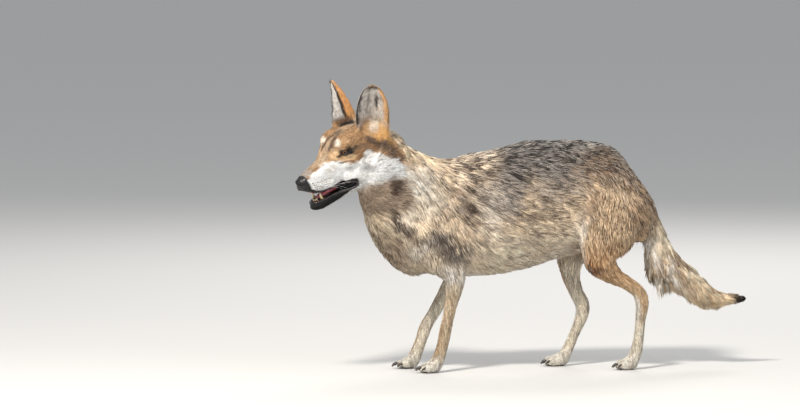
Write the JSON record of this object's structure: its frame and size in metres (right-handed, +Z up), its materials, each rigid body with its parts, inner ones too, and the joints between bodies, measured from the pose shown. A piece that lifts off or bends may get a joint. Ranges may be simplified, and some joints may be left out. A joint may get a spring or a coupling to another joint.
{
  "type": "wolf",
  "caption": "Life-size still model of a Mexican wolf walking with its head low and turned to its left and its mouth slightly open.",
  "frame": {"origin": "on the floor below the middle of the wolf's bounding box", "axes": "+Z up; the wolf faces -X, so its tail points to +X and its left side is towards -Y"},
  "size_m": [1.3064, 0.3088, 0.815],
  "materials": {
    "coat": "grizzled guard hair, grey and buff over a pale undercoat, white on muzzle, cheeks and lower legs",
    "nose": "moist pebbled black skin",
    "eye": "wet, amber iris with a round dark pupil",
    "tongue": "moist, finely rough",
    "tooth": "ivory enamel",
    "claw": "dull dark horn"
  },
  "bodies": {
    "root": {"head": "coat", "lower_jaw": "coat", "neck": "coat", "trunk": "coat", "tail": "coat", "left_ear": "coat", "right_ear": "coat", "left_fore_upper_arm": "coat", "left_fore_forearm": "coat", "left_fore_paw": "coat", "left_fore_claw_1": "claw", "left_fore_claw_2": "claw", "left_fore_claw_3": "claw", "left_fore_claw_4": "claw", "right_fore_upper_arm": "coat", "right_fore_forearm": "coat", "right_fore_paw": "coat", "right_fore_claw_1": "claw", "right_fore_claw_2": "claw", "right_fore_claw_3": "claw", "right_fore_claw_4": "claw", "left_hind_thigh": "coat", "left_hind_shank": "coat", "left_hind_foot": "coat", "left_hind_claw_1": "claw", "left_hind_claw_2": "claw", "left_hind_claw_3": "claw", "left_hind_claw_4": "claw", "right_hind_thigh": "coat", "right_hind_shank": "coat", "right_hind_foot": "coat", "right_hind_claw_1": "claw", "right_hind_claw_2": "claw", "right_hind_claw_3": "claw", "right_hind_claw_4": "claw", "nose": "nose", "left_eye": "eye", "right_eye": "eye", "tongue": "tongue", "left_lower_canine": "tooth", "right_lower_canine": "tooth", "lower_incisors": "tooth"}
  },
  "joints": []
}
